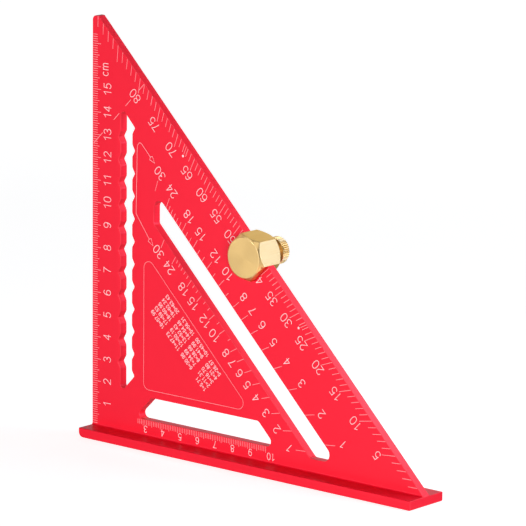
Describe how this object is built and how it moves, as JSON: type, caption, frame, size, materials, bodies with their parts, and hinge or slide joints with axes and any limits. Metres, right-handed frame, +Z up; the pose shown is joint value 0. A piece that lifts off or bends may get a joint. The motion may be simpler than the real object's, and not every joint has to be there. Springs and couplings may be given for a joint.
{
  "type": "rafter square",
  "caption": "Triangular metric rafter square that stands on its T-shaped fence, with a notched scribing slot, printed scales and a brass hexagonal stop clamped on its long edge by a thumbscrew.",
  "frame": {"origin": "centre of the underside of the fence, halfway along it and halfway through the plate", "axes": "+X along the fence away from the upright edge, +Y from the scale face to the back of the plate, +Z up"},
  "size_m": [0.1856, 0.0283, 0.1864],
  "materials": {
    "red_anodised": "satin red anodised aluminium",
    "brass": "turned and lightly brushed brass"
  },
  "bodies": {
    "square": {"square_body": "red_anodised"},
    "stop": {"stop_block": "brass"},
    "thumbscrew": {"thumbscrew": "brass"}
  },
  "joints": [
    {"name": "stop_slide", "type": "slide", "parent": "square", "child": "stop", "axis": [0.7071, 0, -0.7071], "range_m": [-0.118, 0.1085]},
    {"name": "thumbscrew_turn", "type": "hinge", "parent": "stop", "child": "thumbscrew", "pos_m": [-0.00252, 0, 0.09245], "axis": [0, 1, 0], "range_deg": [0, 1080]}
  ]
}
